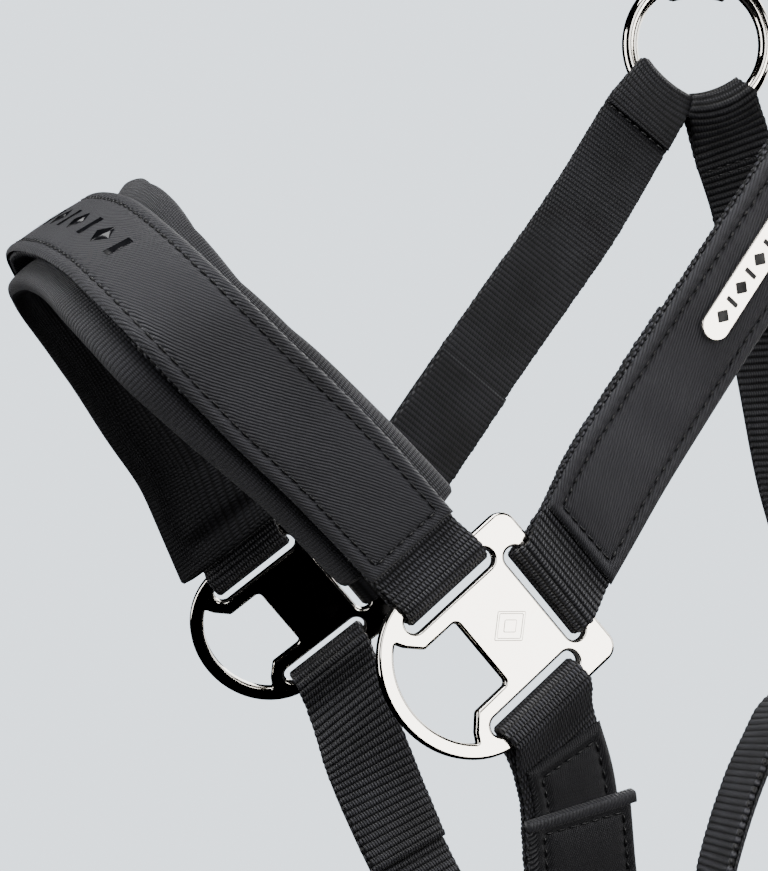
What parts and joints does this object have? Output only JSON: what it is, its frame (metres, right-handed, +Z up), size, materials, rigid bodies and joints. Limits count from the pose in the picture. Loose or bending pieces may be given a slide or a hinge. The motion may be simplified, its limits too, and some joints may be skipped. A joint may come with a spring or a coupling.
{
  "type": "headcollar",
  "caption": "Padded webbing headcollar for a horse, with cast nickel side plates, rings, a buckled crown strap and a snapped throat strap.",
  "frame": {"origin": "underside of the crown pad, in the middle, where the headcollar rests on the horse's poll", "axes": "+Z up, -X towards the horse's nose, -Y towards its near (left) side"},
  "size_m": [0.2863, 0.1996, 0.5073],
  "materials": {
    "webbing": "ribbed nylon webbing",
    "facing": "satin twill",
    "lining": "padded knit",
    "nickel": "polished nickel"
  },
  "bodies": {
    "straps": {"near_side_plate": "nickel", "off_side_plate": "nickel", "noseband_webbing": "webbing", "noseband_facing": "facing", "noseband_pad": "lining", "near_cheek_webbing": "webbing", "near_cheek_facing": "facing", "off_cheek_webbing": "webbing", "off_cheek_facing": "facing", "near_badge": "nickel", "off_chin_webbing": "webbing", "off_chin_facing": "facing", "near_chin_webbing": "webbing", "near_chin_facing": "facing", "near_chin_tab": "facing", "connecting_webbing": "webbing", "connecting_facing": "facing", "throat_webbing": "webbing", "throat_facing": "facing", "snap_eye": "nickel", "buckle_chape": "webbing", "buckle_frame": "nickel", "crown_webbing": "webbing", "crown_pad": "lining", "crown_facing": "facing"},
    "near_ring": {"near_ring": "nickel"},
    "off_ring": {"off_ring": "nickel"},
    "chin_ring": {"chin_ring": "nickel"},
    "snap": {"snap_body": "nickel"},
    "snap_bolt": {"snap_bolt": "nickel"},
    "keeper": {"crown_keeper": "webbing"},
    "tongue": {"buckle_tongue": "nickel"}
  },
  "joints": [
    {"name": "near_ring_turn", "type": "hinge", "parent": "straps", "child": "near_ring", "pos_m": [-0.031, -0.084, -0.178], "axis": [-0.28, -0.96, 0], "continuous": true},
    {"name": "off_ring_turn", "type": "hinge", "parent": "straps", "child": "off_ring", "pos_m": [-0.0105, 0.082, -0.193], "axis": [0.38, 0.925, 0], "continuous": true},
    {"name": "chin_ring_turn", "type": "hinge", "parent": "straps", "child": "chin_ring", "pos_m": [-0.1, 0, -0.484], "axis": [0.3312, 0, -0.9435], "continuous": true},
    {"name": "snap_swivel", "type": "hinge", "parent": "straps", "child": "snap", "pos_m": [-0.00628, -0.09121, -0.2226], "axis": [0.48, -0.14, -0.866], "range_deg": [-25, 25]},
    {"name": "snap_bolt_pull", "type": "slide", "parent": "snap", "child": "snap_bolt", "axis": [0.48, -0.14, -0.866], "range_m": [0, 0.008], "stiffness_N_per_m": 250, "springref_m": -0.003},
    {"name": "keeper_slide", "type": "slide", "parent": "straps", "child": "keeper", "axis": [0, 0, 1], "range_m": [-0.006, 0.005]},
    {"name": "tongue_play", "type": "hinge", "parent": "straps", "child": "tongue", "pos_m": [-0.031, -0.084, -0.0974], "axis": [0.96, -0.28, 0], "range_deg": [0, 1.5]}
  ]
}
